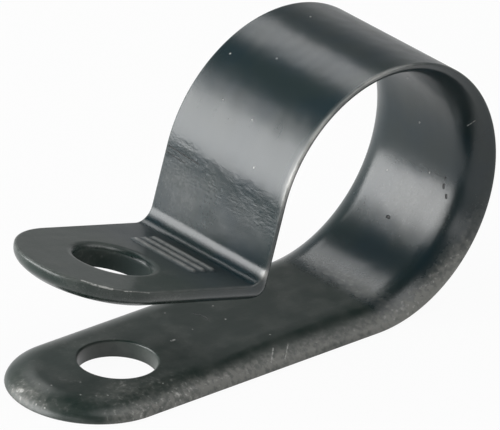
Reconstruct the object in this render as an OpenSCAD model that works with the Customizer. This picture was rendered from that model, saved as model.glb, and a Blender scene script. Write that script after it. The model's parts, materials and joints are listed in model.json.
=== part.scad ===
// Cable clamp: one moulded nylon strap with a screw leg, a round loop for the
// cable bundle, a short wall, a square fold and a thicker screw flange.
// The underside of the screw leg lies on z = 0, its hole is centred on the Z
// axis, and the loop is towards +X.

/* [Strap] */
// Width of the strap, across the clamp
strap_w = 9.5; // [7:0.5:16]
// Thickness of the strap
strap_t = 1; // [0.8:0.05:2]
// How far the rounding of the inside edges reaches in over the face
inside_edge_w = 1.8; // [1.2:0.05:2.4]
// How far that rounding reaches down the side
inside_edge_h = 1.1; // [0.8:0.05:1.4]
// Radius at which that rounding meets the side
inside_edge_r = 0.75; // [0.3:0.05:0.75]
// Rounding along both edges of the outside face
outside_edge_r = 0.15; // [0.05:0.05:0.4]

/* [Loop] */
// Inside diameter of the loop, as moulded
loop_d = 14.1; // [9:0.1:24]
// How far the flange side springs open from the closed position, in degrees
open_angle = 14; // [0:1:25]
// Flat wall between the loop and the fold
wall_len = 3.55; // [2:0.05:6.5]

/* [Screw leg] */
// From the screw hole to the middle of the loop
hole_to_loop = 14.9; // [12:0.1:30]
// From the screw hole to the middle of the round end
leg_end = 1.8; // [0:0.05:4]
// Diameter of the screw hole in the leg
leg_hole_d = 4.4; // [2.5:0.1:6]
// Rounding at the upper rim of that hole
leg_hole_rim_r = 0.12; // [0.04:0.02:0.4]

/* [Flange] */
// Thickness of the flange
flange_t = 1.3; // [0.8:0.05:2]
// Inside radius of the fold between wall and flange
fold_r = 0.95; // [0.3:0.05:2]
// Outside radius of the fold
corner_r = 1.2; // [0.6:0.05:1.5]
// Flat of the flange, from the fold to the middle of the round end
flange_len = 6.9; // [5:0.05:14]
// From the fold to the screw hole in the flange
flange_hole_pos = 5.95; // [4:0.05:8.5]
// Diameter of the screw hole in the flange
flange_hole_d = 4.2; // [2.5:0.1:6]
// Rounding at the upper rim of that hole
flange_hole_rim_r = 0.5; // [0.05:0.05:0.6]

/* [Hidden] */
$fn = 96;
// the runs of strap are joined at this scale, where the rounding of a turned piece leaves no seam
join_scale = 0.01;
// how far a cutter reaches past the face that it opens
cut_over = 1;
loop_outside_r = loop_d / 2 + strap_t;
// the rounding's second, flatter arc is tangent to the first arc and to the inside face
edge_run = inside_edge_w - inside_edge_r;
edge_rise = inside_edge_h - inside_edge_r;
face_edge_r = edge_run * edge_run / (2 * edge_rise) + (inside_edge_h + inside_edge_r) / 2;
// where the two arcs meet, out from the edge of the flat face
edge_meet = face_edge_r * edge_run / (face_edge_r - inside_edge_r);
quarter_turn = 90;
half_turn = 180;
// how far the strap turns round the loop, from the leg to the wall
loop_turn = 3 * quarter_turn - open_angle;
// middle of the fold's outside radius, from the end of the wall
corner_x = fold_r + flange_t - corner_r;
corner_z = strap_t - corner_r;

// All that lies under the inside face, as far down as depth, with the face's edges rounded by two arcs
module under_inside(height, depth) {
    face_x = strap_w / 2 - inside_edge_w;
    side_z = height - inside_edge_h;
    meet_x = face_x + edge_meet;
    translate([-face_x, -depth]) square([2 * face_x, depth + height]);
    if (depth + side_z > 0) translate([-strap_w / 2, -depth]) square([strap_w, depth + side_z]);
    for (side = [-1, 1]) {
        translate([side * (face_x + edge_run), side_z]) circle(inside_edge_r);
        intersection() {
            translate([side * face_x, height - face_edge_r]) circle(face_edge_r);
            translate([-meet_x, -depth]) square([2 * meet_x, depth + height]);
        }
    }
}

// All that lies over the outside face, as far up as height, with the face's edges rounded
module over_outside(height) {
    mid_x = strap_w / 2 - outside_edge_r;
    translate([-mid_x, 0]) square([2 * mid_x, height]);
    translate([-strap_w / 2, outside_edge_r]) square([strap_w, height - outside_edge_r]);
    for (side = [-1, 1]) translate([side * mid_x, outside_edge_r]) circle(outside_edge_r);
}

// Section of the strap: outside face on y = 0, inside face on y = thick
module strap_section(thick) {
    intersection() {
        under_inside(thick, inside_edge_h);
        over_outside(thick);
    }
}

// Carries a section along +X, with its outside face down
module carry(length) {
    rotate([quarter_turn, 0, quarter_turn]) linear_extrude(length) children();
}

// Round end of the strap, towards +X
module round_end(thick) {
    rotate(-quarter_turn) rotate_extrude(angle = half_turn) {
        intersection() {
            strap_section(thick);
            square([strap_w, thick]);
        }
    }
}

// Turns a section from a run along +X to a run along -Z, its outside face at radius from the axis
module turn_down(radius) {
    rotate([quarter_turn, 0, 0]) rotate_extrude(angle = quarter_turn) {
        translate([radius, 0]) rotate(-quarter_turn) children();
    }
}

// Body of the fold as its inside face bounds it: the wall's end, the corner and the flange's start
module fold_under_inside() {
    carry(corner_x) under_inside(strap_t, fold_r);
    translate([corner_x, 0, corner_z]) turn_down(0) {
        intersection() {
            under_inside(corner_r, inside_edge_h);
            translate([-strap_w / 2, 0]) square([strap_w, corner_r]);
        }
    }
    translate([fold_r, 0, corner_z]) rotate([0, quarter_turn, 0]) {
        carry(fold_r + corner_z) under_inside(flange_t, fold_r);
    }
}

// Square fold from the wall along +X to the flange along -Z, outside face on its hollow side
module square_fold() {
    intersection() {
        translate([0, 0, -fold_r]) turn_down(fold_r) over_outside(strap_t + flange_t + fold_r);
        fold_under_inside();
    }
}

// Cutter for a screw hole from the face z = 0 up through a plate, with a round rim on that face
module hole_cutter(hole_d, rim_r, plate_t) {
    hole_r = hole_d / 2;
    rotate_extrude() {
        translate([0, -cut_over]) square([hole_r, plate_t + 2 * cut_over]);
        difference() {
            translate([0, -cut_over]) square([hole_r + rim_r, rim_r + cut_over]);
            translate([hole_r + rim_r, rim_r]) circle(rim_r);
        }
    }
}

// Moves what follows to the middle of the loop
module at_loop() {
    translate([hole_to_loop, 0, loop_outside_r]) children();
}

// Moves what follows to the middle of the loop, turned open with the flange side
module sprung_open() {
    at_loop() rotate([0, open_angle, 0]) children();
}

// Moves what follows from the middle of the loop to the start of the flange, which then runs along +X
module to_flange() {
    translate([-loop_outside_r - fold_r, 0, -wall_len - fold_r]) rotate([0, half_turn, 0]) children();
}

// Screw leg with its round end
module leg() {
    translate([-leg_end, 0, 0]) {
        carry(leg_end + hole_to_loop) strap_section(strap_t);
        mirror([1, 0, 0]) round_end(strap_t);
    }
}

// Loop, from the leg round the far side and over its top to the wall
module loop() {
    at_loop() rotate([quarter_turn, 0, 0]) rotate(-quarter_turn) rotate_extrude(angle = loop_turn) {
        translate([loop_outside_r, 0]) rotate(quarter_turn) strap_section(strap_t);
    }
}

// Wall and fold, then the flange with its round end, about the middle of the loop
module wall_and_flange() {
    translate([-loop_outside_r, 0, 0]) rotate([0, quarter_turn, 0]) {
        carry(wall_len) strap_section(strap_t);
        translate([wall_len, 0, 0]) square_fold();
    }
    to_flange() {
        carry(flange_len) strap_section(flange_t);
        translate([flange_len, 0, 0]) round_end(flange_t);
    }
}

module clamp_strap() {
    color("#2b2e2f") difference() {
        scale(1 / join_scale) {
            scale(join_scale) leg();
            scale(join_scale) loop();
            scale(join_scale) sprung_open() wall_and_flange();
        }
        translate([0, 0, strap_t]) mirror([0, 0, 1]) hole_cutter(leg_hole_d, leg_hole_rim_r, strap_t);
        sprung_open() to_flange() translate([flange_hole_pos, 0, 0]) {
            hole_cutter(flange_hole_d, flange_hole_rim_r, flange_t);
        }
    }
}

clamp_strap();
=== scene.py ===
# %% [markdown]
# # A moulded cable clamp
# The clamp is one strap of black nylon, moulded in a single shot: a flat screw leg, a round loop for the
# cables, a short wall, a square fold and a thicker screw flange. This lesson loads the CAD model as a fixed
# frame, builds the strap again as one fine surface with numpy, gives it the finish of a handled nylon
# moulding, and lights it as in a small studio. Shapes are in metres, in the frame of the CAD model.

# %% Load the frame
import json

import bpy
import numpy as np
from mathutils import Matrix, Vector


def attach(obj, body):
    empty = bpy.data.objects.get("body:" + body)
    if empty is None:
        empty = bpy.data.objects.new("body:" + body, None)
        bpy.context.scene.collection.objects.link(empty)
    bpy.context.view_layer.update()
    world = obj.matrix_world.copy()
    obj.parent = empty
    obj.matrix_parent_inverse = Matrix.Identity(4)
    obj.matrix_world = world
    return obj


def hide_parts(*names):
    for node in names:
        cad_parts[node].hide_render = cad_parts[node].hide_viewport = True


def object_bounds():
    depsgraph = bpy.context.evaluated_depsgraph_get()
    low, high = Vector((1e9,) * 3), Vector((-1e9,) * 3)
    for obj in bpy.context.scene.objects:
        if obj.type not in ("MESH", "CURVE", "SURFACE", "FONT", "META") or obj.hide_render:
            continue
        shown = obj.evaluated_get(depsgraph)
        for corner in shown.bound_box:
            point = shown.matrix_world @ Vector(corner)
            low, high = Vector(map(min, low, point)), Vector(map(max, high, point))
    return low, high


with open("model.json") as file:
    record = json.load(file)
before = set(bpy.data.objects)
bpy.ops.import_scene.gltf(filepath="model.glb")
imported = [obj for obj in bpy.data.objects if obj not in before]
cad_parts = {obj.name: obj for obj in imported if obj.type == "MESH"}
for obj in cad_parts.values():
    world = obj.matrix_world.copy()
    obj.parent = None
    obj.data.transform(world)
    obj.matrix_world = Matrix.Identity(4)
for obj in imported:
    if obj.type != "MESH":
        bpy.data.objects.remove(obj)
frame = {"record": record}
CAD_LOW, CAD_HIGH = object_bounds()

# %% [markdown]
# ## The sizes
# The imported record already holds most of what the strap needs. The holes, the loop and the angle at which
# the flange has sprung open are read from its mounts, and the width from the CAD box. Only the few sizes that
# no mount states are written here.

# %% Sizes of the strap
MM = 0.001
MOUNTS = {mount["name"]: mount for mount in frame["record"]["mounts"]}
LEG_HOLE = MOUNTS["leg_screw_hole"]["dims"]
FLANGE_HOLE = MOUNTS["flange_screw_hole"]["dims"]
FLANGE_UP = MOUNTS["flange_screw_hole"]["axis"]

WIDTH = CAD_HIGH.y - CAD_LOW.y
LOOP_X, _, LOOP_OUT_R = MOUNTS["cable_loop"]["pos_m"]
THICK = LOOP_OUT_R - MOUNTS["cable_loop"]["dims"]["r_mm"] * MM
OPEN_ANGLE = np.arctan2(FLANGE_UP[0], FLANGE_UP[2])
LEG_END = 1.8 * MM
FLANGE_THICK = 1.3 * MM
LEG_HOLE_RIM = THICK - LEG_HOLE["length_mm"] * MM
FLANGE_HOLE_RIM = FLANGE_THICK - FLANGE_HOLE["length_mm"] * MM

WALL_LEN = 3.55 * MM
FOLD_R = 0.95 * MM
CORNER_R = 1.2 * MM
FLANGE_LEN = 6.9 * MM
FLANGE_HOLE_AT = 5.95 * MM
INSIDE_EDGE_W = 1.8 * MM
INSIDE_EDGE_H = 1.1 * MM
INSIDE_EDGE_R = 0.75 * MM
OUTSIDE_EDGE_R = 0.15 * MM
HOLE_EDGE_R = 0.04 * MM
print(f"strap {WIDTH / MM:.2f} wide, {THICK / MM:.2f} thick, open by {np.degrees(OPEN_ANGLE):.1f} degrees")

# %% [markdown]
# ## From a flat pattern to the bent strap
# A strap is easiest to draw flat, as a long strip with two round ends and two holes, and to bend afterwards.
# A point of the flat pattern has three numbers: s along the strap, y across it and h through its thickness.
# Bending needs only the heading of the strap, which grows round the loop and turns back in the fold. A curve
# modifier could bend a flat mesh too, but it would stretch the holes and the roundings, and a formula is
# exact.

# %% Bend the flat pattern
QUARTER = np.pi / 2
MID = THICK / 2
LOOP_TURN = 3 * QUARTER - OPEN_ANGLE
LOOP_LEN = (LOOP_OUT_R - MID) * LOOP_TURN
FOLD_LEN = (FOLD_R + MID) * QUARTER
LOOP_AT = LEG_END + LOOP_X
WALL_AT = LOOP_AT + LOOP_LEN
FOLD_AT = WALL_AT + WALL_LEN
FLANGE_AT = FOLD_AT + FOLD_LEN
STRAP_LEN = FLANGE_AT + FLANGE_LEN


def bend(pattern):
    """Carries points (s, y, h) of the flat pattern onto the bent strap.

    s runs along the middle layer from the centre of the leg's round end, and h goes from the outside face to
    the inside face. The heading is the angle turned in the loop less the angle turned back in the fold. Each
    straight run adds its length along the heading, each bend the chord of its own outside arc, and h is laid
    off square to the heading.
    """
    s, y, h = pattern.T
    leg = np.minimum(s, LOOP_AT) - LEG_END
    turned = np.clip(s - LOOP_AT, 0, LOOP_LEN) / (LOOP_OUT_R - MID)
    wall = np.clip(s - WALL_AT, 0, WALL_LEN)
    heading = turned - np.clip(s - FOLD_AT, 0, FOLD_LEN) / (FOLD_R + MID)
    flange = np.maximum(s - FLANGE_AT, 0)
    x = leg + (LOOP_OUT_R + FOLD_R) * np.sin(turned) + wall * np.cos(turned)
    x += flange * np.cos(heading) - (FOLD_R + h) * np.sin(heading)
    z = LOOP_OUT_R - (LOOP_OUT_R + FOLD_R) * np.cos(turned) + wall * np.sin(turned)
    z += flange * np.sin(heading) + (FOLD_R + h) * np.cos(heading)
    return np.column_stack([x, y, z])


print(f"strap length along its middle layer: {(STRAP_LEN + WIDTH) / MM:.1f} mm")

# %% [markdown]
# ## Where the rows of points go
# The surface is a grid, so it needs rows along the strap and columns across it. Bends and fine marks need
# close rows, and flat runs can do with wide ones. The two cut lines are where the plain strip ends and the
# patch round a screw hole begins.

# %% Rows along the strap
LEG_HOLE_S = LEG_END
FLANGE_HOLE_S = FLANGE_AT + FLANGE_HOLE_AT
LEG_CUT = LEG_HOLE_S + 3.9 * MM
FLANGE_CUT = FLANGE_AT + 3.05 * MM
RUN_STEPS = [
    # start, end and distance of the rows between them
    (0, LEG_CUT, 0.25 * MM),
    (LEG_CUT, LOOP_AT, 0.25 * MM),
    (LOOP_AT, WALL_AT, 0.16 * MM),
    (WALL_AT, FOLD_AT, 0.12 * MM),
    (FOLD_AT, FLANGE_AT, 0.06 * MM),
    (FLANGE_AT, FLANGE_CUT, 0.05 * MM),
    (FLANGE_CUT, STRAP_LEN, 0.2 * MM),
]
ARC_POINTS = 49
FACE_POINTS = 53


def run_rows(start, end, step):
    """Evenly spaced values from start up to, but not including, end."""
    return np.linspace(start, end, round((end - start) / step), endpoint=False)


ROWS = np.append(np.concatenate([run_rows(*run) for run in RUN_STEPS]), STRAP_LEN)
ARC = np.linspace(0, np.pi, ARC_POINTS)
FACE_HALF = WIDTH / 2 - INSIDE_EDGE_W
COLUMNS = np.linspace(-FACE_HALF, FACE_HALF, FACE_POINTS)
print(f"{len(ROWS)} rows, {len(COLUMNS)} columns")

# %% [markdown]
# ## How thick the strap is
# The flange is thicker than the strap, and the change happens in the fold: its hollow side is a plain arc,
# but its outer side runs straight on to a tight round corner, as the square corner of the mould left it. Seen
# from the axis of the fold, that outer side is a distance that depends on the angle turned.

# %% Thickness along the strap
WALL_REACH = FOLD_R + THICK
FLANGE_REACH = FOLD_R + FLANGE_THICK
CORNER_W = WALL_REACH - CORNER_R
CORNER_F = FLANGE_REACH - CORNER_R
TINY = 1e-9


def fold_turn(s):
    """The angle turned in the fold at s: none before it, a quarter turn after it."""
    return np.clip((s - FOLD_AT) / (FOLD_R + MID), 0, QUARTER)


def thickness(s):
    """Thickness at s: the reach from the fold's axis to the inside face, less the radius of the fold.

    The reach along the ray is the nearer of the wall's and the flange's face, or where the ray meets the
    corner's circle between them: the root of a quadratic.
    """
    wall_share, flange_share = np.cos(fold_turn(s)), np.sin(fold_turn(s))
    to_wall = WALL_REACH / np.maximum(wall_share, TINY)
    to_flange = FLANGE_REACH / np.maximum(flange_share, TINY)
    along = CORNER_W * wall_share + CORNER_F * flange_share
    to_arc = along + np.sqrt(np.maximum(along**2 - CORNER_W**2 - CORNER_F**2 + CORNER_R**2, 0))
    in_corner = (to_arc * wall_share > CORNER_W) & (to_arc * flange_share > CORNER_F)
    return np.where(in_corner, to_arc, np.minimum(to_wall, to_flange)) - FOLD_R


def under_face(s, h):
    """Depth of a point under the inside face, square to that face, or to the arc in the fold's corner."""
    wall_way = (FOLD_R + h) * np.cos(fold_turn(s))
    flange_way = (FOLD_R + h) * np.sin(fold_turn(s))
    flat = np.where(flange_way < CORNER_F, WALL_REACH - wall_way, FLANGE_REACH - flange_way)
    arc = CORNER_R - np.hypot(wall_way - CORNER_W, flange_way - CORNER_F)
    return np.where((wall_way > CORNER_W) & (flange_way > CORNER_F), arc, flat)


print(f"thickest in the fold: {thickness(ROWS).max() / MM:.2f} mm")

# %% [markdown]
# ## The outline
# Laid flat, the strap is a strip with a half circle at each end. The rim will follow that outline, so each of
# its points also keeps the direction that leads out of the strap there.

# %% Outline of the flat pattern
def outline():
    """The flat pattern's outline, clockwise, and the way outwards at each of its points.

    It goes along one side, round the flange's end, back along the other side and round the leg's end.
    """
    side = np.column_stack([ROWS, np.full(len(ROWS), WIDTH / 2)])
    across = np.tile([0.0, 1.0], (len(ROWS), 1))
    turn = QUARTER - ARC[1:-1]
    end_out = np.column_stack([np.cos(turn), np.sin(turn)])
    points = [side, end_out * WIDTH / 2 + [STRAP_LEN, 0], side[::-1] * [1, -1], -end_out * WIDTH / 2]
    outwards = [across, end_out, -across, -end_out]
    return np.concatenate(points), np.concatenate(outwards)


OUTLINE, OUTWARDS = outline()
print(f"{len(OUTLINE)} points round the strap")

# %% [markdown]
# ## The edge profile
# All round the strap runs one edge: nearly square at the outside face, where the mould halves met, and
# generously rounded at the inside face, which lies on the cables. The wide rounding is two arcs, a tight one
# that leaves the side and a flat one that runs out into the face. A Bevel modifier makes one arc only, so the
# profile is given by a formula: how deep the edge lies inside the outline at a height h.

# %% Profile of the edge
EDGE_RUN = INSIDE_EDGE_W - INSIDE_EDGE_R
EDGE_RISE = INSIDE_EDGE_H - INSIDE_EDGE_R
FACE_EDGE_R = EDGE_RUN**2 / (2 * EDGE_RISE) + (INSIDE_EDGE_H + INSIDE_EDGE_R) / 2
MEET_RISE = INSIDE_EDGE_R * (FACE_EDGE_R - INSIDE_EDGE_H) / (FACE_EDGE_R - INSIDE_EDGE_R)


def other_leg(radius, leg):
    """Other leg of a right triangle whose long side is the radius: a circle's half chord at that distance."""
    return np.sqrt(np.maximum(radius**2 - leg**2, 0))


def edge_depth(s, h):
    """Depth in from the outline at h: the deeper of the wide rounding inside and the small one outside.

    The rise counts up from where the wide rounding leaves the side. Below the height at which its arcs meet,
    the depth is the tight arc's radius less its half chord, and above it the width less the flat arc's half
    chord.
    """
    rise = np.clip(INSIDE_EDGE_H - under_face(s, h), 0, INSIDE_EDGE_H)
    tight = INSIDE_EDGE_R - other_leg(INSIDE_EDGE_R, rise)
    flat = INSIDE_EDGE_W - other_leg(FACE_EDGE_R, FACE_EDGE_R - INSIDE_EDGE_H + rise)
    low = np.clip(OUTSIDE_EDGE_R - h, 0, OUTSIDE_EDGE_R)
    small = OUTSIDE_EDGE_R - other_leg(OUTSIDE_EDGE_R, low)
    return np.maximum(np.where(rise < MEET_RISE, tight, flat), small)


print(f"flat arc {FACE_EDGE_R / MM:.2f} mm in radius, arcs meet {MEET_RISE / MM:.2f} mm up")

# %% [markdown]
# ## The rim
# The rim is that profile carried along the outline. Its points crowd where the edge is sharp, because the
# thin pale line of wear there is kept on the points.

# %% The rim round the flat pattern
FLAT_STEPS, SMALL_STEPS, LARGE_STEPS = 7, 7, 20


def rim_grid():
    """One row of profile points for each point of the outline, which moves inwards by the depth.

    The profile starts on the flat of the outside face, with points that crowd towards the edge as squares
    do, goes up its small arc by even angles, and on to the inside face with heights that follow a sine, so
    that the points stay even where the rounding flattens out.
    """
    s = np.clip(OUTLINE[:, :1], 0, STRAP_LEN)
    small_angle = np.linspace(0, QUARTER, SMALL_STEPS)[None, :]
    large_angle = np.linspace(0, QUARTER, LARGE_STEPS)[None, 1:]
    small = OUTSIDE_EDGE_R * (1 - np.cos(small_angle)) + 0 * s
    large = OUTSIDE_EDGE_R + (thickness(s) - OUTSIDE_EDGE_R) * np.sin(large_angle)
    crowded = np.linspace(1, 0, FLAT_STEPS, endpoint=False)[None, :] ** 2
    flat = OUTSIDE_EDGE_R + (INSIDE_EDGE_W - OUTSIDE_EDGE_R) * crowded + 0 * s
    height = np.hstack([0 * flat, small, large])
    depth = np.hstack([flat, edge_depth(s, small), edge_depth(s, large)])
    depth[:, [0, -1]] = INSIDE_EDGE_W
    place = OUTLINE[:, None] - depth[..., None] * OUTWARDS[:, None]
    return np.dstack([place, height])


RIM = rim_grid()
print("rim grid:", RIM.shape)

# %% [markdown]
# ## Ribs on the flange
# Three plain ribs run across the flange next to the fold. They could be three joined cylinders, but a rib is
# only a low bank, so it is a height added to the face, whose rows are close there.

# %% Height of the ribs
RIB_ROWS = FLANGE_AT + np.array([0.75, 1.45, 2.15]) * MM
RIB_HALF_LEN = 2.3 * MM
RIB_R = 0.19 * MM
RIB_FOOT = 1.5
RIB_HEIGHT = 0.13 * MM


def rib_height(s, y):
    """Height of the ribs: a smooth step that falls with the distance to a rib's line, down to its foot."""
    along = np.maximum(np.abs(y) - RIB_HALF_LEN, 0)
    away = np.hypot(s[..., None] - RIB_ROWS, along[..., None]).min(axis=-1)
    share = np.clip(RIB_FOOT - away / RIB_R, 0, 1)
    return RIB_HEIGHT * share * share * (3 - 2 * share)


print(f"{len(RIB_ROWS)} ribs, {RIB_HEIGHT / MM:.2f} mm high")

# %% [markdown]
# ## The two faces
# Each face is a plain strip between the cut lines and, at each end, a patch round the screw hole. The patch
# is a ring of straight spokes: every spoke starts on the rim of the hole and ends on the border of the patch,
# at a point that the strip or the rim also has, so the pieces meet point by point. A Boolean could cut the
# holes, but it would leave long thin faces that shade badly.

# %% The strip between the holes
def strip_grid(inside):
    """The plain strip of one face: rows times columns, at h of that face, with the ribs proud outside."""
    rows = ROWS[(ROWS >= LEG_CUT) & (ROWS <= FLANGE_CUT)]
    s, y = np.meshgrid(rows, COLUMNS, indexing="ij")
    h = thickness(s) if inside else -rib_height(s, y)
    return np.dstack([s, y, h])


INSIDE_STRIP, OUTSIDE_STRIP = strip_grid(True), strip_grid(False)
print("strip grid:", INSIDE_STRIP.shape)

# %% Patches round the screw holes
SPOKE_STEPS = 15
SPOKE_CROWDING = 1.3


def patch_border(reach, side_rows):
    """Border of a hole's patch, about the middle of the strap's end: cut line, side, round end and side."""
    cut = np.column_stack([np.full(len(COLUMNS), reach), COLUMNS])
    side = np.column_stack([side_rows[::-1], np.full(len(side_rows), FACE_HALF)])
    turn = QUARTER + ARC
    end = FACE_HALF * np.column_stack([np.cos(turn), np.sin(turn)])
    return np.concatenate([cut, side[1:-1], end, side[-2:0:-1] * [1, -1]])


def patch_grid(border, hole, hole_r, h):
    """Spokes from the hole's rim to the border: each leaves the rim in the direction of its border point."""
    to_border = border - [hole, 0]
    ray = to_border / np.linalg.norm(to_border, axis=1, keepdims=True)
    start = ray * hole_r + [hole, 0]
    share = np.linspace(0, 1, SPOKE_STEPS) ** SPOKE_CROWDING
    flat = start[:, None] + share[None, :, None] * (border - start)[:, None]
    return np.dstack([flat, np.full(flat.shape[:2], h)]), ray


print(f"{SPOKE_STEPS} points to a spoke")

# %% Walls of the screw holes
HOLE_EDGE_STEPS = 9


def arc_points(centre, radius, first, last):
    """Points on a circle: the centre plus the radius times the cosine and sine of evenly spaced angles."""
    angle = np.linspace(first, last, HOLE_EDGE_STEPS)
    return np.column_stack([centre[0] + radius * np.cos(angle), centre[1] + radius * np.sin(angle)])


def hole_profile(hole_r, thick, outside_rim, inside_rim):
    """Radius and height up the wall of a hole: a rounded rim, the straight wall and the other rounded rim."""
    low = arc_points((hole_r + outside_rim, outside_rim), outside_rim, 3 * QUARTER, np.pi)
    high = arc_points((hole_r + inside_rim, thick - inside_rim), inside_rim, np.pi, QUARTER)
    return np.concatenate([low, high])


def hole_wall(ray, hole, profile):
    """The wall of a hole: its profile carried round the same rays as the spokes of the patch."""
    flat = ray[:, None] * profile[None, :, :1] + [hole, 0]
    return np.dstack([flat, np.broadcast_to(profile[:, 1], flat.shape[:2])])


LEG_PROFILE = hole_profile(LEG_HOLE["r_mm"] * MM, THICK, HOLE_EDGE_R, LEG_HOLE_RIM)
FLANGE_PROFILE = hole_profile(FLANGE_HOLE["r_mm"] * MM, FLANGE_THICK, FLANGE_HOLE_RIM, HOLE_EDGE_R)
print(f"{len(LEG_PROFILE)} points up the wall of each hole")

# %% [markdown]
# ## One welded mesh
# A grid becomes quads by pairing each row with the next. The patch at the flange is the same as at the leg,
# turned by half a turn in the flat pattern. Points that two grids share are welded by looking for equal
# rows, and the count of edges that don't have exactly two faces shows that no seam is left open.

# %% All the grids
def end_grids(end, way, hole, reach, thick, profile):
    """The three grids of one end: both faces' patches and the hole's wall, with their orders of turning."""
    near = ROWS[ROWS <= reach] if way > 0 else STRAP_LEN - ROWS[ROWS >= STRAP_LEN - reach][::-1]
    border = patch_border(reach, near)
    low, ray = patch_grid(border, hole, profile[0, 0], 0)
    high, _ = patch_grid(border, hole, profile[-1, 0], thick)
    place = np.array([way, way, 1.0])
    grids = [(low, False), (high, True), (hole_wall(ray, hole, profile), True)]
    return [(grid * place + [end, 0, 0], True, turned) for grid, turned in grids]


FLANGE_REST = STRAP_LEN - FLANGE_CUT
GRIDS = [(RIM, True, True), (INSIDE_STRIP, False, False), (OUTSIDE_STRIP, False, True)]
GRIDS += end_grids(0, 1, LEG_HOLE_S, LEG_CUT, THICK, LEG_PROFILE)
GRIDS += end_grids(STRAP_LEN, -1, STRAP_LEN - FLANGE_HOLE_S, FLANGE_REST, FLANGE_THICK, FLANGE_PROFILE)
print(f"{len(GRIDS)} grids")

# %% Weld the grids
WELD_STEP = 1e-8


def grid_quads(rows, columns, closed, turned):
    """Quads of a grid of points; closed joins the last row to the first, and turned turns their order."""
    first = np.arange(rows if closed else rows - 1)
    corner = first[:, None] * columns + np.arange(columns - 1)
    after = ((first + 1) % rows)[:, None] * columns + np.arange(columns - 1)
    quads = np.stack([corner, after, after + 1, corner + 1], axis=-1).reshape(-1, 4)
    return quads[:, ::-1] if turned else quads


def weld(grids):
    """All grids as one list of points and quads: points equal to a hundredth of a micron become one."""
    points = np.concatenate([grid.reshape(-1, 3) for grid, _, _ in grids])
    starts = np.cumsum([0] + [grid.shape[0] * grid.shape[1] for grid, _, _ in grids])
    quads = np.concatenate([
        grid_quads(*grid.shape[:2], closed, turned) + start
        for (grid, closed, turned), start in zip(grids, starts)
    ])
    steps = np.round(points / WELD_STEP)
    _, kept, number = np.unique(steps, axis=0, return_index=True, return_inverse=True)
    return points[kept], number.reshape(-1)[quads]


PATTERN, QUADS = weld(GRIDS)
ENDS = np.stack([QUADS, np.roll(QUADS, -1, axis=1)], axis=-1).reshape(-1, 2)
_, uses = np.unique(np.sort(ENDS, axis=1), axis=0, return_counts=True)
print(f"{len(PATTERN)} points, {len(QUADS)} quads, {np.sum(uses != 2)} open edges")

# %% [markdown]
# ## The strap in Blender
# The bent points go into a mesh in one call. The flat pattern's own coordinates are kept as an attribute, in
# millimetres, so that the finish can follow the strap round its bends. The surface replaces the CAD node and
# keeps its form, and its volume is printed.

# %% Make the strap
def mesh_volume(points, quads):
    """Volume inside closed quads: a sixth of the triple product of each triangle's corners, added up."""
    triangles = np.concatenate([quads[:, [0, 1, 2]], quads[:, [0, 2, 3]]])
    a, b, c = (points[triangles[:, corner]] for corner in range(3))
    return np.einsum("ij,ij->", a, np.cross(b, c)) / 6


POINTS = bend(PATTERN)
PATTERN_MM = PATTERN / MM
strap_mesh = bpy.data.meshes.new("strap_surface")
strap_mesh.from_pydata(POINTS, [], QUADS)
strap_mesh.polygons.foreach_set("use_smooth", np.ones(len(QUADS), bool))
pattern_mm = strap_mesh.attributes.new("pattern_mm", "FLOAT_VECTOR", "POINT")
pattern_mm.data.foreach_set("vector", PATTERN_MM.ravel())
strap = bpy.data.objects.new("strap_surface", strap_mesh)
bpy.context.scene.collection.objects.link(strap)
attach(strap, "root")
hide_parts("clamp_strap")
print(f"strap volume {mesh_volume(POINTS, QUADS) / MM**3:.1f} cubic mm")

# %% [markdown]
# ## Scuffs, rubbed lines and painted highlights
# A clamp that has lain in a box with others is not black all over. Its front rim is scuffed grey in patches,
# and its sharp edges are rubbed pale in thin lines. Pale lines on the loop's front edge, the fold's front end
# and the middle of the leg's front rim are painted highlights. Wear could be painted on by hand, but where it
# lies is a matter of place on the strap, so it is worked out for every point of the mesh from the flat
# pattern: scuffs, which the finish breaks up with noise, and lines, which stay smooth. Each spot is a soft
# ellipsoid: its middle, its reach along, across and through the strap, all in millimetres, and its strength.

# %% Spots of wear and painted highlight
SCUFFS = np.array([
    # lower part of the loop's front rim, and the rim between it and the leg
    (21.5, -4.7, 0.2, 2.8, 0.6, 0.8, 1.4),
    (17.6, -4.6, 0.4, 2.6, 0.6, 0.8, 1.05),
    # front rim of the leg
    (11.0, -4.5, 0.4, 4.5, 0.6, 0.6, 0.9),
    (4.5, -4.5, 0.3, 4.5, 0.6, 0.6, 1.2),
    (-0.7, -4.5, 0.2, 1.6, 0.7, 0.5, 0.8),
    # tip of the leg, and a film on the leg round its hole
    (-4.3, 0.6, 0.5, 0.8, 1.4, 0.5, 0.75),
    (-0.6, -2.7, 1.0, 2.4, 0.9, 0.3, 0.22),
    (0.6, -3.3, 0.95, 2.2, 0.8, 0.4, 0.16),
    (3.6, 2.9, 1.0, 3.0, 0.9, 0.3, 0.08),
    # inside of the loop, next to the leg
    (18.1, -0.9, 1.0, 0.75, 2.9, 0.3, 0.4),
    (24.6, -0.5, 1.0, 1.3, 2.6, 0.3, 0.16),
    # back part of the wall
    (52.3, 3.0, 0.0, 1.5, 2.0, 0.3, 0.1),
])
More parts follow.
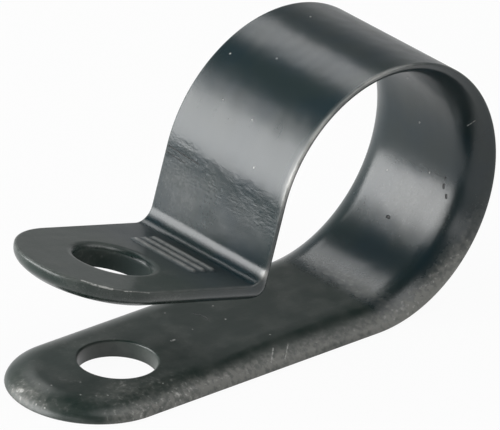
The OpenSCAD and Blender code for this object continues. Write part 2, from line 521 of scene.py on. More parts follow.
EDGE_LINES = np.array([
    # painted highlights on the sharp front edge of the loop, its top and its side, and on the front end of
    # the fold
    (41.6, -4.75, 0.0, 2.0, 0.15, 0.2, 0.7),
    (46.2, -4.75, 0.0, 1.8, 0.15, 0.2, 0.9),
    (49.0, -4.75, 0.0, 1.3, 0.22, 0.28, 1.2),
    (54.5, -4.75, 0.0, 0.35, 0.3, 0.3, 1.1),
    # wear on the lower part of the loop's front rim and on the low edge of the leg's front rim, and a painted
    # highlight along the middle of the leg's front rim
    (22.0, -4.75, 0.2, 2.6, 0.5, 0.5, 0.2),
    (18.0, -4.75, 0.2, 2.6, 0.5, 0.5, 0.14),
    (10.0, -4.75, 0.1, 6.0, 0.25, 0.25, 0.1),
    (12.0, -4.56, 0.4, 5.5, 0.12, 0.12, 0.16),
])


def soft_spots(spots):
    """Sum of soft ellipsoids: each strength times exp of minus the squared distance counted in reaches."""
    middle, reach, strength = spots[:, :3], spots[:, 3:6], spots[:, 6]
    away = (PATTERN_MM[:, None] - middle) / reach
    return np.exp(-np.square(away).sum(axis=-1)) @ strength


print(f"{len(SCUFFS)} scuffs, {len(EDGE_LINES)} lines")

# %% [markdown]
# ## Wear and painted highlights that follow the shape
# Other wear and painted highlights need no list of spots, because the shape itself says where they are:
# rubbed wear and a painted highlight on the sharp outside edge, painted highlights on the backs of the ribs
# and on the front lip of the flange's hole, and wear on the wall of the leg's hole. Distances to the edge or
# to the hole's axis and the height of a rib are all that it takes.

# %% Edge, ribs and holes
EDGE_REACH = 0.11
# outside edge: rubbed wear and a painted highlight in one pale line
EDGE_WEAR_AND_HIGHLIGHT = 0.16
# ribs: a painted highlight on their backs
RIB_HIGHLIGHT = 0.36
BORE_WEAR = 0.06
# front lip of the flange's hole: a painted highlight, a pale ring along the rim
LIP_HIGHLIGHT = 0.5
LIP_ON_RIM = 0.8
LIP_R = FLANGE_HOLE["r_mm"] + LIP_ON_RIM * FLANGE_HOLE_RIM / MM
LIP_REACH = 0.1
LIP_MIDDLE = (1.8, -1.7, 0.0)
LIP_SPREAD = (2.2, 2.2, 0.3)


def rubbed_and_highlit_edge():
    """Rubbed wear and painted highlight of the sharp outside edge: exp of minus the squared distance from it,
    counted in reaches.
    """
    s, y, h = PATTERN_MM.T
    past_end = np.maximum(np.maximum(-s, s - STRAP_LEN / MM), 0)
    depth = WIDTH / MM / 2 - np.hypot(past_end, y)
    return EDGE_WEAR_AND_HIGHLIGHT * np.exp(-(depth**2 + h**2) / EDGE_REACH**2)


def painted_rib_highlights():
    """Painted highlight on the ribs' backs: the square of the share of a rib's full height that a point
    stands proud.
    """
    return RIB_HIGHLIGHT * np.clip(-PATTERN[:, 2] / RIB_HEIGHT, 0, 1) ** 2


def rubbed_bore():
    """Wear of the leg's screw hole: the same all over its wall, where points lie at the hole's radius."""
    from_axis = np.hypot(PATTERN[:, 0] - LEG_HOLE_S, PATTERN[:, 1])
    return BORE_WEAR * (from_axis < LEG_HOLE["r_mm"] * MM + HOLE_EDGE_R / 2)


def painted_lip_highlight():
    """Painted highlight on the front lip of the flange's hole: a ring along its rim that fades away from the
    lip's middle.

    It is exp of minus two squared distances: from the rim's circle, counted in narrow reaches, and from the
    middle of the lip, counted in wide ones.
    """
    from_hole = PATTERN_MM - [FLANGE_HOLE_S / MM, 0, 0]
    off_rim = (np.hypot(from_hole[:, 0], from_hole[:, 1]) - LIP_R) / LIP_REACH
    off_middle = (from_hole - LIP_MIDDLE) / LIP_SPREAD
    return LIP_HIGHLIGHT * np.exp(-(off_rim**2) - np.square(off_middle).sum(axis=1))


# the pale ring on the lip is a painted highlight
print(f"lip of the flange's hole rubbed at a radius of {LIP_R:.2f} mm")

# %% Keep the wear and the painted highlights
def keep_on_points(name, values):
    """Keeps one number for each point of the strap's mesh as an attribute."""
    kept = strap_mesh.attributes.new(name, "FLOAT", "POINT")
    kept.data.foreach_set("value", values.astype(np.float32))
    print(f"{name}: mean {values.mean():.3f}, highest {values.max():.2f}")


# lines: rubbed wear on edges, rims and the leg's hole, and painted highlights on the loop's front edge, the
# fold's end, the leg's rim, the outside edge, the ribs and the hole's lip
rubbed_and_highlight_lines = soft_spots(EDGE_LINES) + rubbed_and_highlit_edge() + painted_rib_highlights() + rubbed_bore() + painted_lip_highlight()
keep_on_points("wear", soft_spots(SCUFFS))
keep_on_points("lines", rubbed_and_highlight_lines)

# %% [markdown]
# ## Where the mould was matte
# The loop and the wall came from a polished mould and shine. The leg and the flange are duller, and the panel
# with the ribs next to the fold is duller still, as a mould's insert often is. That is one more number for
# each point: none on the polished strap, a part on the leg and the flange, and all of it on the panel, with a
# slanting border beside the hole.

# %% Matte areas
FLANGE_MM = FLANGE_AT / MM
LEG_MM = LOOP_AT / MM
FLANGE_MATTE = 0.28
LEG_MATTE = 0.2
PANEL_REACH = 8.7
PANEL_SLANT = 1.1
BORDER = 0.5


def step_up(value, start, width):
    """A soft step from 0 to 1 that starts at the given value and takes the given width."""
    share = np.clip((value - start) / width, 0, 1)
    return share * share * (3 - 2 * share)


def matte_areas():
    """Matte share of each point: the leg's, then the flange's, then the panel's up to its slanting border."""
    s, y, h = PATTERN_MM.T
    outside = 1 - step_up(h, 0, OUTSIDE_EDGE_R / MM)
    on_leg = 1 - step_up(s, LEG_MM, BORDER)
    on_flange = outside * step_up(s, FLANGE_MM - BORDER, BORDER)
    panel_end = FLANGE_MM + PANEL_REACH - PANEL_SLANT * (y + WIDTH / MM / 2)
    on_panel = on_flange * (1 - step_up(s, panel_end, BORDER))
    return LEG_MATTE * on_leg + FLANGE_MATTE * on_flange + (1 - FLANGE_MATTE) * on_panel


keep_on_points("matte", matte_areas())

# %% [markdown]
# ## Tools for node materials
# A material in Blender is a small network: nodes make numbers, colours and directions, and links carry them
# on. Written out in full, a network takes four lines for every node. These helpers make a node, set it up and
# link it in one call, and give back the socket that holds the result.

# %% Node helpers
def add(tree, kind, inputs, **settings):
    """A new node with its settings; each input, by name or number, is a value or another node's output."""
    made = tree.nodes.new(kind)
    for name, value in settings.items():
        setattr(made, name, value)
    for key, value in inputs.items():
        if isinstance(value, bpy.types.NodeSocket):
            tree.links.new(value, made.inputs[key])
        else:
            made.inputs[key].default_value = value
    return made


def math(tree, operation, *values):
    """One sum, product or other operation on numbers."""
    return add(tree, "ShaderNodeMath", dict(enumerate(values)), operation=operation).outputs[0]


def vector(tree, operation, *values):
    """One operation on vectors, such as a product axis by axis."""
    return add(tree, "ShaderNodeVectorMath", dict(enumerate(values)), operation=operation).outputs[0]


def measure(tree, operation, *values):
    """One number taken from vectors, such as a length or a dot product."""
    return add(tree, "ShaderNodeVectorMath", dict(enumerate(values)), operation=operation).outputs["Value"]


def scaled(tree, way, factor):
    """A vector times one number."""
    return add(tree, "ShaderNodeVectorMath", {0: way, "Scale": factor}, operation="SCALE").outputs[0]


print("node helpers ready")

# %% Pattern helpers
MIX_COLOURS = (6, 7)
MIX_RESULT = 2


def remap(tree, value, first, last, low=0.0, high=1.0):
    """A soft step: low up to first, high from last on, and smooth between them."""
    inputs = {"Value": value, "From Min": first, "From Max": last, "To Min": low, "To Max": high}
    return add(tree, "ShaderNodeMapRange", inputs, interpolation_type="SMOOTHSTEP").outputs["Result"]


def noise(tree, place, scale, detail):
    """Cloudy noise about one half, with so many clouds to the millimetre and so many finer levels."""
    inputs = {"Vector": place, "Scale": scale, "Detail": detail}
    return add(tree, "ShaderNodeTexNoise", inputs).outputs["Fac"]


def stretched_noise(tree, place, scales, detail):
    """The same noise with its own number of clouds along each axis."""
    return noise(tree, vector(tree, "MULTIPLY", place, scales), 1.0, detail)


def blend(tree, share, first, second):
    """A colour between two others; the Mix node keeps its colour inputs and output at these places."""
    inputs = {0: share, MIX_COLOURS[0]: first, MIX_COLOURS[1]: second}
    return add(tree, "ShaderNodeMix", inputs, data_type="RGBA").outputs[MIX_RESULT]


def attribute(tree, name, output):
    """The value that the mesh keeps for each point under this name."""
    return add(tree, "ShaderNodeAttribute", {}, attribute_name=name).outputs[output]


print("pattern helpers ready")

# %% [markdown]
# ## A stroke
# Scratches, pits, flash lines and specks are all short strokes of some width. A stroke is found by distance:
# how far a point lies from a line between two ends. That is worth a node group of its own, made once and used
# for every mark, with the ends given in the flat pattern so that a mark stays on the strap wherever it bends.

# %% The stroke group
STROKE_INPUTS = {"Place": "Vector", "Start": "Vector", "Reach": "Vector", "Half Width": "Float"}
STROKE_SOFT = 0.45


def stroke_group():
    """Node group: 1 near the line from start along reach, falling to 0 at the stroke's half width.

    The share along the line is the dot product of the way from the start with the reach, over the reach's
    squared length, kept between 0 and 1. What is left of that way is the distance from the line.
    """
    group = bpy.data.node_groups.new("stroke", "ShaderNodeTree")
    for name, kind in STROKE_INPUTS.items():
        group.interface.new_socket(name, in_out="INPUT", socket_type="NodeSocket" + kind)
    group.interface.new_socket("Share", in_out="OUTPUT", socket_type="NodeSocketFloat")
    given = group.nodes.new("NodeGroupInput").outputs
    way = vector(group, "SUBTRACT", given["Place"], given["Start"])
    dots = [measure(group, "DOT_PRODUCT", one, given["Reach"]) for one in (way, given["Reach"])]
    along = math(group, "MINIMUM", math(group, "MAXIMUM", math(group, "DIVIDE", *dots), 0.0), 1.0)
    left = vector(group, "SUBTRACT", way, scaled(group, given["Reach"], along))
    inner = math(group, "MULTIPLY", given["Half Width"], STROKE_SOFT)
    outer = remap(group, measure(group, "LENGTH", left), inner, given["Half Width"])
    share = math(group, "SUBTRACT", 1.0, outer)
    group.links.new(share, group.nodes.new("NodeGroupOutput").inputs["Share"])
    return group


STROKE = stroke_group()
print(f"stroke group: {len(STROKE.nodes)} nodes")

# %% [markdown]
# ## The marks
# Each mark is a start, an end and a half width, in millimetres of the flat pattern: along the strap, across
# it and through it, where 0 is the outside face and the strap's thickness is the inside face. Pale marks are
# dust, scratches, chipped edges and dashes of painted highlight along the flange's front edge. Dark marks are
# pits, a scratch in the leg and the two fine lines where an insert of the mould met the loop.

# %% Pale marks
INSIDE_MM = THICK / MM
SPECK = 0.07
SPECKS = [
    (44.7, 3.8, 0), (43.7, 1.1, 0), (39.9, 2.8, 0), (47.2, -0.35, 0), (49.3, -1.9, 0), (47.0, 2.2, 0),
    (29.3, 0.45, INSIDE_MM), (25.5, 2.2, INSIDE_MM), (26.6, -0.8, INSIDE_MM), (32.6, 0.6, INSIDE_MM),
    (-3.1, -0.2, INSIDE_MM), (-1.6, -0.85, INSIDE_MM), (7.5, 2.6, INSIDE_MM), (10.2, 1.7, INSIDE_MM),
    (7.45, 0.25, INSIDE_MM), (9.7, 0.1, INSIDE_MM), (10.45, -2.7, INSIDE_MM), (2.0, -3.5, 0.94),
    (-2.53, -1.94, 0.99), (-1.94, -2.53, 0.99), (-1.41, -2.86, 0.99), (-4.38, -1.17, 0.43),
    (-4.5, -0.59, 0.43),
]
PALE_MARKS = [(place, place, SPECK) for place in SPECKS] + [
    # chip and scratches of the leg and of the loop's inside
    ((5.6, -0.1, INSIDE_MM), (5.8, -0.1, INSIDE_MM), 0.09),
    ((30.9, -3.55, 0.93), (31.4, -4.1, 0.73), 0.03),
    ((9.0, -4.45, 0.5), (9.7, -3.8, 0.86), 0.06),
    ((9.95, -4.5, 0.43), (10.7, -3.9, 0.82), 0.06),
    # rubbed spot on the leg's tip, and dashes of painted highlight along the flange's front edge
    ((-4.3, 1.15, 0.5), (-4.25, 0.85, 0.56), 0.16),
    ((66.95, -2.6, 0.02), (66.5, -3.3, 0.03), 0.1),
    ((66.5, -3.3, 0.03), (65.85, -3.9, 0.04), 0.1),
    ((65.3, -4.25, 0.06), (63.8, -4.68, 0.06), 0.04),
]
print(f"{len(PALE_MARKS)} pale marks")

# %% Dark marks
WALL_MM = WALL_AT / MM
DARK_MARKS = [
    # bent scratch in the leg
    ((8.7, 1.7, INSIDE_MM), (8.95, 1.1, INSIDE_MM), 0.035),
    ((8.95, 1.1, INSIDE_MM), (8.9, 0.55, INSIDE_MM), 0.035),
    # lines of the mould's insert
    ((WALL_MM, 4.75, 0), (WALL_MM + 0.12, 2.0, 0), 0.032),
    ((WALL_MM + 0.36, 4.75, 0), (WALL_MM + 0.45, 3.0, 0), 0.028),
    # pits inside the loop
    ((26.8, -2.05, INSIDE_MM), (26.75, -2.05, INSIDE_MM), 0.07),
    ((26.35, -2.05, INSIDE_MM), (26.2, -2.1, INSIDE_MM), 0.09),
    ((25.85, -2.45, INSIDE_MM), (25.75, -2.5, INSIDE_MM), 0.09),
    ((23.1, 0.68, INSIDE_MM), (23.1, 0.58, INSIDE_MM), 0.12),
]


def strokes(tree, place, marks):
    """The strongest of a list of strokes at each point."""
    strongest = None
    for start, end, half_width in marks:
        reach = tuple(np.subtract(end, start))
        inputs = {"Place": place, "Start": start, "Reach": reach, "Half Width": half_width}
        found = add(tree, "ShaderNodeGroup", inputs, node_tree=STROKE).outputs["Share"]
        strongest = found if strongest is None else math(tree, "MAXIMUM", strongest, found)
    return strongest


print(f"{len(DARK_MARKS)} dark marks")

# %% [markdown]
# ## Black nylon: coordinates
# The finish reads the object's own coordinates, or the flat pattern and the numbers kept on the points, so
# everything stays put from any side. One more share tells the ends from the middle: the leg and the end of
# the flange are a little greener and more dusty than the loop.

# %% Coordinates on the nylon
LEG_FADE = 1.0
ENDS_START, ENDS_WHOLE = FLANGE_MM + 2.0, FLANGE_MM + 5.0
finish = bpy.data.materials.new("black_nylon")
finish.use_nodes = True
nylon = finish.node_tree
place = scaled(nylon, add(nylon, "ShaderNodeTexCoord", {}).outputs["Object"], 1 / MM)
pattern = attribute(nylon, "pattern_mm", "Vector")
wear, lines, matte = (attribute(nylon, name, "Fac") for name in ("wear", "lines", "matte"))
along_strap, across_strap, through_strap = add(nylon, "ShaderNodeSeparateXYZ", {0: pattern}).outputs
on_leg = remap(nylon, along_strap, LEG_MM, LEG_MM + LEG_FADE, 1.0, 0.0)
at_ends = math(nylon, "MAXIMUM", on_leg, remap(nylon, along_strap, ENDS_START, ENDS_WHOLE))
print(f"ends greener up to {LEG_MM:.1f} mm and from {ENDS_WHOLE:.1f} mm on")

# %% [markdown]
# ## Black nylon: clouds, grain and flow
# No moulding is even. Its pigment is cloudy, its skin has a fine grain and lies in shallow waves, and faint
# streaks show which way the melt flowed. Painted images could hold all that, but noise of four sizes needs
# no image, and the streaks are noise stretched along the strap.

# %% Clouds, grain and flow
# clouds to the millimetre, and levels of detail
CLOUDS = (0.4, 3.0)
GRAIN = (7.0, 4.0)
WAVES = (0.6, 1.0)
FLOW = ((0.22, 2.0, 1.0), 3.0)
clouds = noise(nylon, place, *CLOUDS)
grain = noise(nylon, place, *GRAIN)
waves = noise(nylon, place, *WAVES)
flow = stretched_noise(nylon, pattern, *FLOW)
print(f"{len(nylon.nodes)} nodes so far")

# %% [markdown]
# ## Black nylon: wear and painted highlights
# Scuffs are not smooth: they come in grains, and where they are strong, pale flecks stand out, most of all at
# the leg's tip and on the loop. A thin film of dirt lies in patches on the ends. The lines of rubbed wear and
# painted highlight stay whole and only vary in strength. So the kept wear is multiplied by noise, and each
# range below says where a soft step on that noise starts and ends and what it gives before and after.

# %% Worn, bare and painted highlights
WEAR_NOISE, WEAR_GRAINS = (3.2, 5.0), (0.32, 0.68, 0.4, 1.25)
FILM_NOISE, FILM_PATCHES = (0.7, 5.0), (0.40, 0.70, 0.0, 0.11)
FLECK_NOISE, FLECK_RANGE = (4.5, 4.0), (0.53, 0.74)
TIP_FLECKS, LOOP_FLECKS = (2.0, 5.0, 0.8, 0.35), (15.0, 19.0, 0.35, 0.8)
LINE_NOISE, LINE_STRENGTH = ((1.2, 3.0, 3.0), 2.0), (0.3, 0.6, 0.6, 1.0)

grains_of_wear = remap(nylon, noise(nylon, place, *WEAR_NOISE), *WEAR_GRAINS)
film = math(nylon, "MULTIPLY", at_ends, remap(nylon, noise(nylon, place, *FILM_NOISE), *FILM_PATCHES))
worn = math(nylon, "MINIMUM", math(nylon, "MULTIPLY_ADD", wear, grains_of_wear, film), 1.0)
on_tip = remap(nylon, along_strap, *TIP_FLECKS)
speckled = math(nylon, "MAXIMUM", on_tip, remap(nylon, along_strap, *LOOP_FLECKS))
fleck_grains = remap(nylon, noise(nylon, place, *FLECK_NOISE), *FLECK_RANGE)
flecks = math(nylon, "MULTIPLY", math(nylon, "MULTIPLY", worn, fleck_grains), speckled)
streaks = remap(nylon, stretched_noise(nylon, pattern, *LINE_NOISE), *LINE_STRENGTH)
streaked = math(nylon, "MINIMUM", math(nylon, "MULTIPLY", lines, streaks), 1.0)
# bare flecks, and lines of rubbed wear and painted highlight
bare_and_highlit = math(nylon, "MAXIMUM", flecks, streaked)
print(f"{len(nylon.nodes)} nodes with the wear")

# %% [markdown]
# ## Black nylon: marks and dust
# The pale marks are broken up by the grain, as a scratch is that skips over a rough skin. Besides the marks
# that were listed, a little dust lies anywhere. Scattered spheres would do too, but a Voronoi pattern gives
# each cell one centre and one random number, which picks the cells that hold a grain of dust and its size.

# %% Marks and dust
BREAKS = (0.38, 0.56, 0.15, 0.75)
DUST_CELLS = 0.55
DUST_SHARE = 0.72
DUST_SIZE = 0.05
DUST_SOFT = DUST_SIZE / 3

pale = math(nylon, "MULTIPLY", strokes(nylon, pattern, PALE_MARKS), remap(nylon, grain, *BREAKS))
dark = strokes(nylon, pattern, DARK_MARKS)
dust_cells = add(nylon, "ShaderNodeTexVoronoi", {"Vector": place, "Scale": DUST_CELLS}).outputs
dust_pick = add(nylon, "ShaderNodeSeparateColor", {"Color": dust_cells["Color"]}).outputs["Red"]
dust_size = remap(nylon, dust_pick, DUST_SHARE, 1.0, 0.0, DUST_SIZE)
dust = remap(nylon, math(nylon, "SUBTRACT", dust_size, dust_cells["Distance"]), 0.0, DUST_SOFT)
print(f"{len(nylon.nodes)} nodes with marks and dust")

# %% [markdown]
# ## Black nylon: creases
# Where the loop meets the wall, the nylon has been bent often and lies in a band of fine creases across the
# strap. There the outside face steps down a few hundredths of a millimetre and slowly comes back up along the
# wall. Noise shifts the step to and fro, and a finer noise mottles the band. Bends this shallow show only by
# what they mirror, so they are heights for the bump and not geometry.

# %% Creases across the strap
NOISE_MEAN = 0.5
OUTSIDE_UP_TO = 0.1
CREASE_START, CREASE_END = WALL_MM - 0.5, WALL_MM + 0.8
CREASE_TILT, CREASE_SHIFT, CREASE_FADE = 0.05, 1.35, 3.0
CREASE_NOISE = ((1.5, 0.8, 1.0), 5.0)
MOTTLE_NOISE = ((6.0, 2.4, 1.0), 4.0)
MOTTLE_IN = (CREASE_START - 0.3, CREASE_START + 0.3)
MOTTLE_OUT = (CREASE_END + 0.3, CREASE_END + 1.2, 1.0, 0.25)

outside = math(nylon, "LESS_THAN", through_strap, OUTSIDE_UP_TO)
drift = math(nylon, "SUBTRACT", stretched_noise(nylon, pattern, *CREASE_NOISE), NOISE_MEAN)
straight_place = math(nylon, "MULTIPLY_ADD", across_strap, CREASE_TILT, along_strap)
crease_place = math(nylon, "MULTIPLY_ADD", drift, CREASE_SHIFT, straight_place)
step_down = remap(nylon, crease_place, CREASE_START, CREASE_END, 1.0, 0.0)
way_back = remap(nylon, along_strap, CREASE_END, CREASE_END + CREASE_FADE)
step = math(nylon, "MULTIPLY", math(nylon, "ADD", step_down, way_back), outside)
band_start = remap(nylon, crease_place, *MOTTLE_IN)
in_band = math(nylon, "MULTIPLY", band_start, remap(nylon, crease_place, *MOTTLE_OUT))
mottle = math(nylon, "SUBTRACT", stretched_noise(nylon, pattern, *MOTTLE_NOISE), NOISE_MEAN)
creases = math(nylon, "MULTIPLY", mottle, math(nylon, "MULTIPLY", in_band, outside))
print(f"creases from {CREASE_START:.1f} to {CREASE_END:.1f} mm along the strap")

# %% [markdown]
# ## Black nylon: the sunken rim and the dull bore
# Nylon shrinks as it cools, and along the front of the inside face it has sunk a little towards the rim. The
# wall of the flange's hole is dull and looks dark, as a rough core pin leaves it. The first is a soft step
# across the strap, and the second is found by the distance from the hole's axis.

# %% Sunken rim and dull bore
SINK_ACROSS = (-2.3, -4.4)
SINK_ALONG = (4.0, 9.0)
FLANGE_BORE = FLANGE_HOLE["r_mm"]
BORE_FADE = (FLANGE_BORE + 0.005, FLANGE_BORE + 0.06, 1.0, 0.0)
IN_PLANE = (1.0, 1.0, 0.0)

inside = math(nylon, "SUBTRACT", 1.0, outside)
sink_along = math(nylon, "MULTIPLY", remap(nylon, along_strap, *SINK_ALONG), inside)
sink = math(nylon, "MULTIPLY", remap(nylon, across_strap, *SINK_ACROSS), sink_along)
from_hole = vector(nylon, "SUBTRACT", pattern, (FLANGE_HOLE_S / MM, 0.0, 0.0))
from_axis = measure(nylon, "LENGTH", vector(nylon, "MULTIPLY", from_hole, IN_PLANE))
in_bore = remap(nylon, from_axis, *BORE_FADE)
print(f"{len(nylon.nodes)} nodes for all the patterns")

# %% [markdown]
# ## Black nylon: colour
# The pigment is a blue-black that goes to a slightly greener black with the clouds and to an olive black at
# the ends. Over it lie the grey of the scuffs and the near white of bare flecks, dust, scratches and rubbed
# lines, the same near white as painted highlights on edges, ribs and the hole's lip, and the pits are black.
# Each layer is mixed over the last one by its own pattern.

# %% Colour of the nylon
BLUE_BLACK = (0.007, 0.017, 0.021, 1)
GREEN_BLACK = (0.010, 0.019, 0.020, 1)
OLIVE_BLACK = (0.007, 0.017, 0.0135, 1)
RUBBED_GREY = (0.165, 0.167, 0.154, 1)
# near white of dust, bare flecks and scratches, and of the painted highlights
DUST_AND_HIGHLIGHT_WHITE = (0.42, 0.42, 0.40, 1)
PIT_BLACK = (0.002, 0.003, 0.004, 1)
CLOUD_RANGE = (0.35, 0.65)

colour = blend(nylon, remap(nylon, clouds, *CLOUD_RANGE), BLUE_BLACK, GREEN_BLACK)
LAYERS = [
    # a pattern, and the colour that it lays over the last one
    (at_ends, OLIVE_BLACK), (worn, RUBBED_GREY), (bare_and_highlit, DUST_AND_HIGHLIGHT_WHITE),
    (dust, DUST_AND_HIGHLIGHT_WHITE), (pale, DUST_AND_HIGHLIGHT_WHITE), (dark, PIT_BLACK),
]
for share, layer in LAYERS:
    colour = blend(nylon, share, colour, layer)
print(f"{len(nylon.nodes)} nodes with the colour")

# %% [markdown]
# ## Black nylon: gloss and bump
# The roughness starts at that of the polished mould and rises with grain, wear, marks and the matte areas.
# The height, in millimetres, gives the bump. All other values of the shader are the same all over, so they
# stay on its own sockets.

# %% Gloss and bump of the nylon
POLISHED = 0.19
WORN_ROUGH = 0.30
ROUGH_PARTS = [
    # a pattern, and how much rougher it makes the surface
    (grain, 0.07), (flow, 0.05), (matte, 0.36), (worn, WORN_ROUGH),
    (dust, WORN_ROUGH), (pale, WORN_ROUGH), (dark, WORN_ROUGH), (in_bore, 0.6),
]
HEIGHT_PARTS = [
    # a pattern, and its height in millimetres
    (grain, 0.0022), (waves, 0.030), (flow, 0.004), (worn, 0.012), (step, 0.032),
    (creases, 0.012), (sink, -0.22), (dust, 0.02), (pale, 0.01), (dark, -0.05),
]


def weighed(tree, base, parts):
    """A base value plus each part times its weight."""
    total = base
    for part, weight in parts:
        total = math(tree, "MULTIPLY_ADD", part, weight, total)
    return total


bump = add(nylon, "ShaderNodeBump", {"Height": weighed(nylon, 0.0, HEIGHT_PARTS), "Distance": MM})
shader = nylon.nodes["Principled BSDF"]
nylon.links.new(colour, shader.inputs["Base Color"])
nylon.links.new(weighed(nylon, POLISHED, ROUGH_PARTS), shader.inputs["Roughness"])
nylon.links.new(bump.outputs["Normal"], shader.inputs["Normal"])
strap_mesh.materials.append(finish)
print(f"{finish.name}: {len(nylon.nodes)} nodes")

# %% [markdown]
# ## The floor
# The clamp lies on white paper. Lit only enough for a black part to keep its tone, paper would look grey, so
# by the Light Path node the camera sees it as plain white, and a twentieth of it stays ordinary paper, which
# takes the shadow. The gloss of the nylon sees white paper too, but it fades towards the back right, where
# the room is dark.

# %% Lay the paper
FLOOR_HALF = 1.5
FLOOR_DROP = 0.01 * MM
PAPER_GREY = (0.5, 0.5, 0.5, 1)
PAPER_WHITE = (1.0, 1.0, 1.0, 1)
SEEN_WHITE = 0.95
FADE_WAY = (0.75, 0.66, 0.0)
FADE = (12 * MM, 70 * MM, 1.0, 0.15)


def white_paper():
    """Diffuse paper that camera, glass and gloss see mostly as white; for gloss it fades along one way."""
    paper = bpy.data.materials.new("white_paper")
    paper.use_nodes = True
    tree = paper.node_tree
    tree.nodes.clear()
    coords = add(tree, "ShaderNodeTexCoord", {}).outputs["Object"]
    way = measure(tree, "DOT_PRODUCT", coords, FADE_WAY)
    rays = add(tree, "ShaderNodeLightPath", {}).outputs
    in_gloss = math(tree, "MULTIPLY", rays["Is Glossy Ray"], remap(tree, way, *FADE))
    direct = math(tree, "MAXIMUM", rays["Is Camera Ray"], rays["Is Transmission Ray"])
    seen = math(tree, "MULTIPLY", math(tree, "MAXIMUM", direct, in_gloss), SEEN_WHITE)
    diffuse = add(tree, "ShaderNodeBsdfDiffuse", {"Color": PAPER_GREY}).outputs[0]
    white = add(tree, "ShaderNodeEmission", {"Color": PAPER_WHITE}).outputs[0]
    mixed = add(tree, "ShaderNodeMixShader", {0: seen, 1: diffuse, 2: white}).outputs[0]
    add(tree, "ShaderNodeOutputMaterial", {"Surface": mixed})
    return paper


corners = np.array([[-1, -1], [1, -1], [1, 1], [-1, 1]]) * FLOOR_HALF
floor_points = np.column_stack([corners, np.full(len(corners), -FLOOR_DROP)])
floor_mesh = bpy.data.meshes.new("floor")
floor_mesh.from_pydata(floor_points, [], [range(len(corners))])
floor_mesh.materials.append(white_paper())
floor = bpy.data.objects.new("floor", floor_mesh)
bpy.context.scene.collection.objects.link(floor)
print(f"floor {2 * FLOOR_HALF:.0f} m wide")

# %% [markdown]
# ## The lights
# On a black, shiny part lights are mostly seen as reflections, so each softbox is placed by the band that it
# draws. The left box draws the broad band down the loop, and the strips above and below it give that band
# soft edges. The back box draws the narrow band over the top, the top and front boxes lighten the leg and the
# flange, and the dim right and left front boxes keep the rims from going black.

# %% Set up the softboxes
AIM = Vector((10 * MM, 0, 7 * MM))
SOFTBOXES = {
    # azimuth from +Y towards +X, elevation, distance in metres, width and height in degrees, radiance
    "left_box": (-55, 19, 0.3, (60, 28), 7.6),
    "left_upper_box": (-48, 37.5, 0.3, (55, 9), 2.9),
    "left_lower_box": (-55, 2, 0.3, (60, 6), 6.6),
    "back_box": (23, 43, 0.5, (18, 18), 3.4),
    "top_box": (150, 72, 0.6, (28, 28), 3.4),
    "front_box": (120, 44, 0.6, (32, 26), 2.2),
    "right_box": (68, 49, 0.6, (36, 22), 0.8),
    "left_front_box": (-103, 27, 0.5, (44, 16), 2.0),
}


def softbox(name, azimuth, elevation, distance, spread, radiance):
    """A rectangular area light that fills the angles asked for, as seen from the clamp.

    Width and height are twice the distance times the tangent of half the angle, and the power is the radiance
    times pi times the area.
    """
    azimuth, elevation = np.radians([azimuth, elevation])
    width, height = 2 * distance * np.tan(np.radians(spread) / 2)
    data = bpy.data.lights.new(name, "AREA")
    data.shape = "RECTANGLE"
    data.size, data.size_y = width, height
    data.energy = radiance * np.pi * width * height
    lamp = bpy.data.objects.new(name, data)
    bpy.context.scene.collection.objects.link(lamp)
    flat = np.cos(elevation)
    towards = Vector((np.sin(azimuth) * flat, np.cos(azimuth) * flat, np.sin(elevation)))
    lamp.location = AIM + towards * distance
    lamp.rotation_euler = towards.to_track_quat("Z", "Y").to_euler()
    return lamp


LAMPS = [softbox(name, *values) for name, values in SOFTBOXES.items()]
print("softboxes:", ", ".join(f"{lamp.name} {lamp.data.energy:.2f} W" for lamp in LAMPS))

# %% [markdown]
# ## The room
# What no softbox covers is the room: pale near the horizon, where the paper's light falls on the walls, and
# dark overhead. The world's colour is a ramp over the height of the direction.

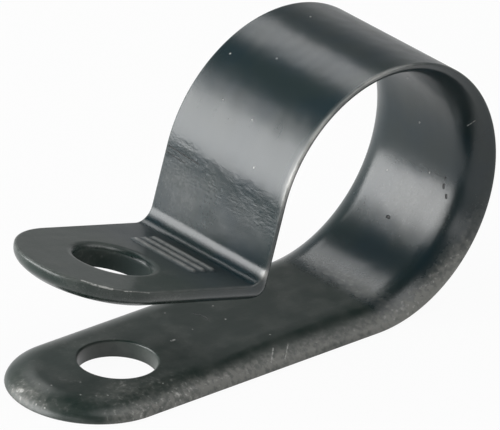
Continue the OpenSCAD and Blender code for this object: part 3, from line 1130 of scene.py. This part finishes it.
# %% Colour the room
ROOM_GREYS = [(0.0, 0.75), (0.12, 0.65), (0.34, 0.32), (0.6, 0.10)]
RAMP_END = 1.0
world = bpy.data.worlds.new("studio")
bpy.context.scene.world = world
world.use_nodes = True
room = world.node_tree
direction = add(room, "ShaderNodeTexCoord", {}).outputs["Generated"]
height = add(room, "ShaderNodeSeparateXYZ", {0: direction}).outputs["Z"]
greys = add(room, "ShaderNodeValToRGB", {0: height})
stops = greys.color_ramp.elements
while len(stops) < len(ROOM_GREYS):
    stops.new(RAMP_END)
for stop, (place_on_ramp, grey) in zip(stops, ROOM_GREYS):
    stop.position = place_on_ramp
    stop.color = (grey, grey, grey, 1)
room.links.new(greys.outputs["Color"], room.nodes["Background"].inputs["Color"])
print(f"room: {len(stops)} greys")

# %% [markdown]
# ## The camera
# The camera stands in front to the left and looks down on the clamp through a long lens. Its heading, tilt
# and roll turn three axes: ahead, right and up. The picture's scale at the pivot and the fall-off of that
# scale with depth give the lens and the distance.

# %% Place the camera
IMAGE_WIDTH = 500
SENSOR = 36
HEADING, TILT, ROLL = np.radians([43.2159, 26.5449, 3.3278])
PX_PER_MM = 18.4517
FALL_OFF_PER_MM = 0.0015
PIVOT = np.array([8.0, 0.0, 6.0]) * MM
SHIFT_RIGHT, SHIFT_UP = -0.9263 * MM, -1.2092 * MM


def camera_axes():
    """Right, up and ahead: the heading turns about Z, the tilt looks down, the roll turns right into up."""
    ahead = np.array([np.sin(HEADING) * np.cos(TILT), np.cos(HEADING) * np.cos(TILT), -np.sin(TILT)])
    level = np.array([np.cos(HEADING), -np.sin(HEADING), 0])
    upright = np.cross(level, ahead)
    right = np.cos(ROLL) * level + np.sin(ROLL) * upright
    return right, np.cross(right, ahead), ahead


right, up, ahead = camera_axes()
stand = PIVOT - ahead * MM / FALL_OFF_PER_MM - SHIFT_RIGHT * right - SHIFT_UP * up
camera_data = bpy.data.cameras.new("camera")
camera_data.sensor_width = SENSOR
camera_data.lens = SENSOR * PX_PER_MM / FALL_OFF_PER_MM / IMAGE_WIDTH
camera = bpy.data.objects.new("camera", camera_data)
camera.matrix_world = Matrix.Translation(stand) @ Matrix(np.column_stack([right, up, -ahead])).to_4x4()
bpy.context.scene.collection.objects.link(camera)
bpy.context.scene.camera = camera
print(f"camera {np.linalg.norm(stand - PIVOT):.3f} m from the clamp, lens {camera_data.lens:.0f} mm")

# %% [markdown]
# ## The view transform
# The view transform is Standard, so that a colour renders as it is written.

# %% Finish
bpy.context.scene.view_settings.view_transform = "Standard"
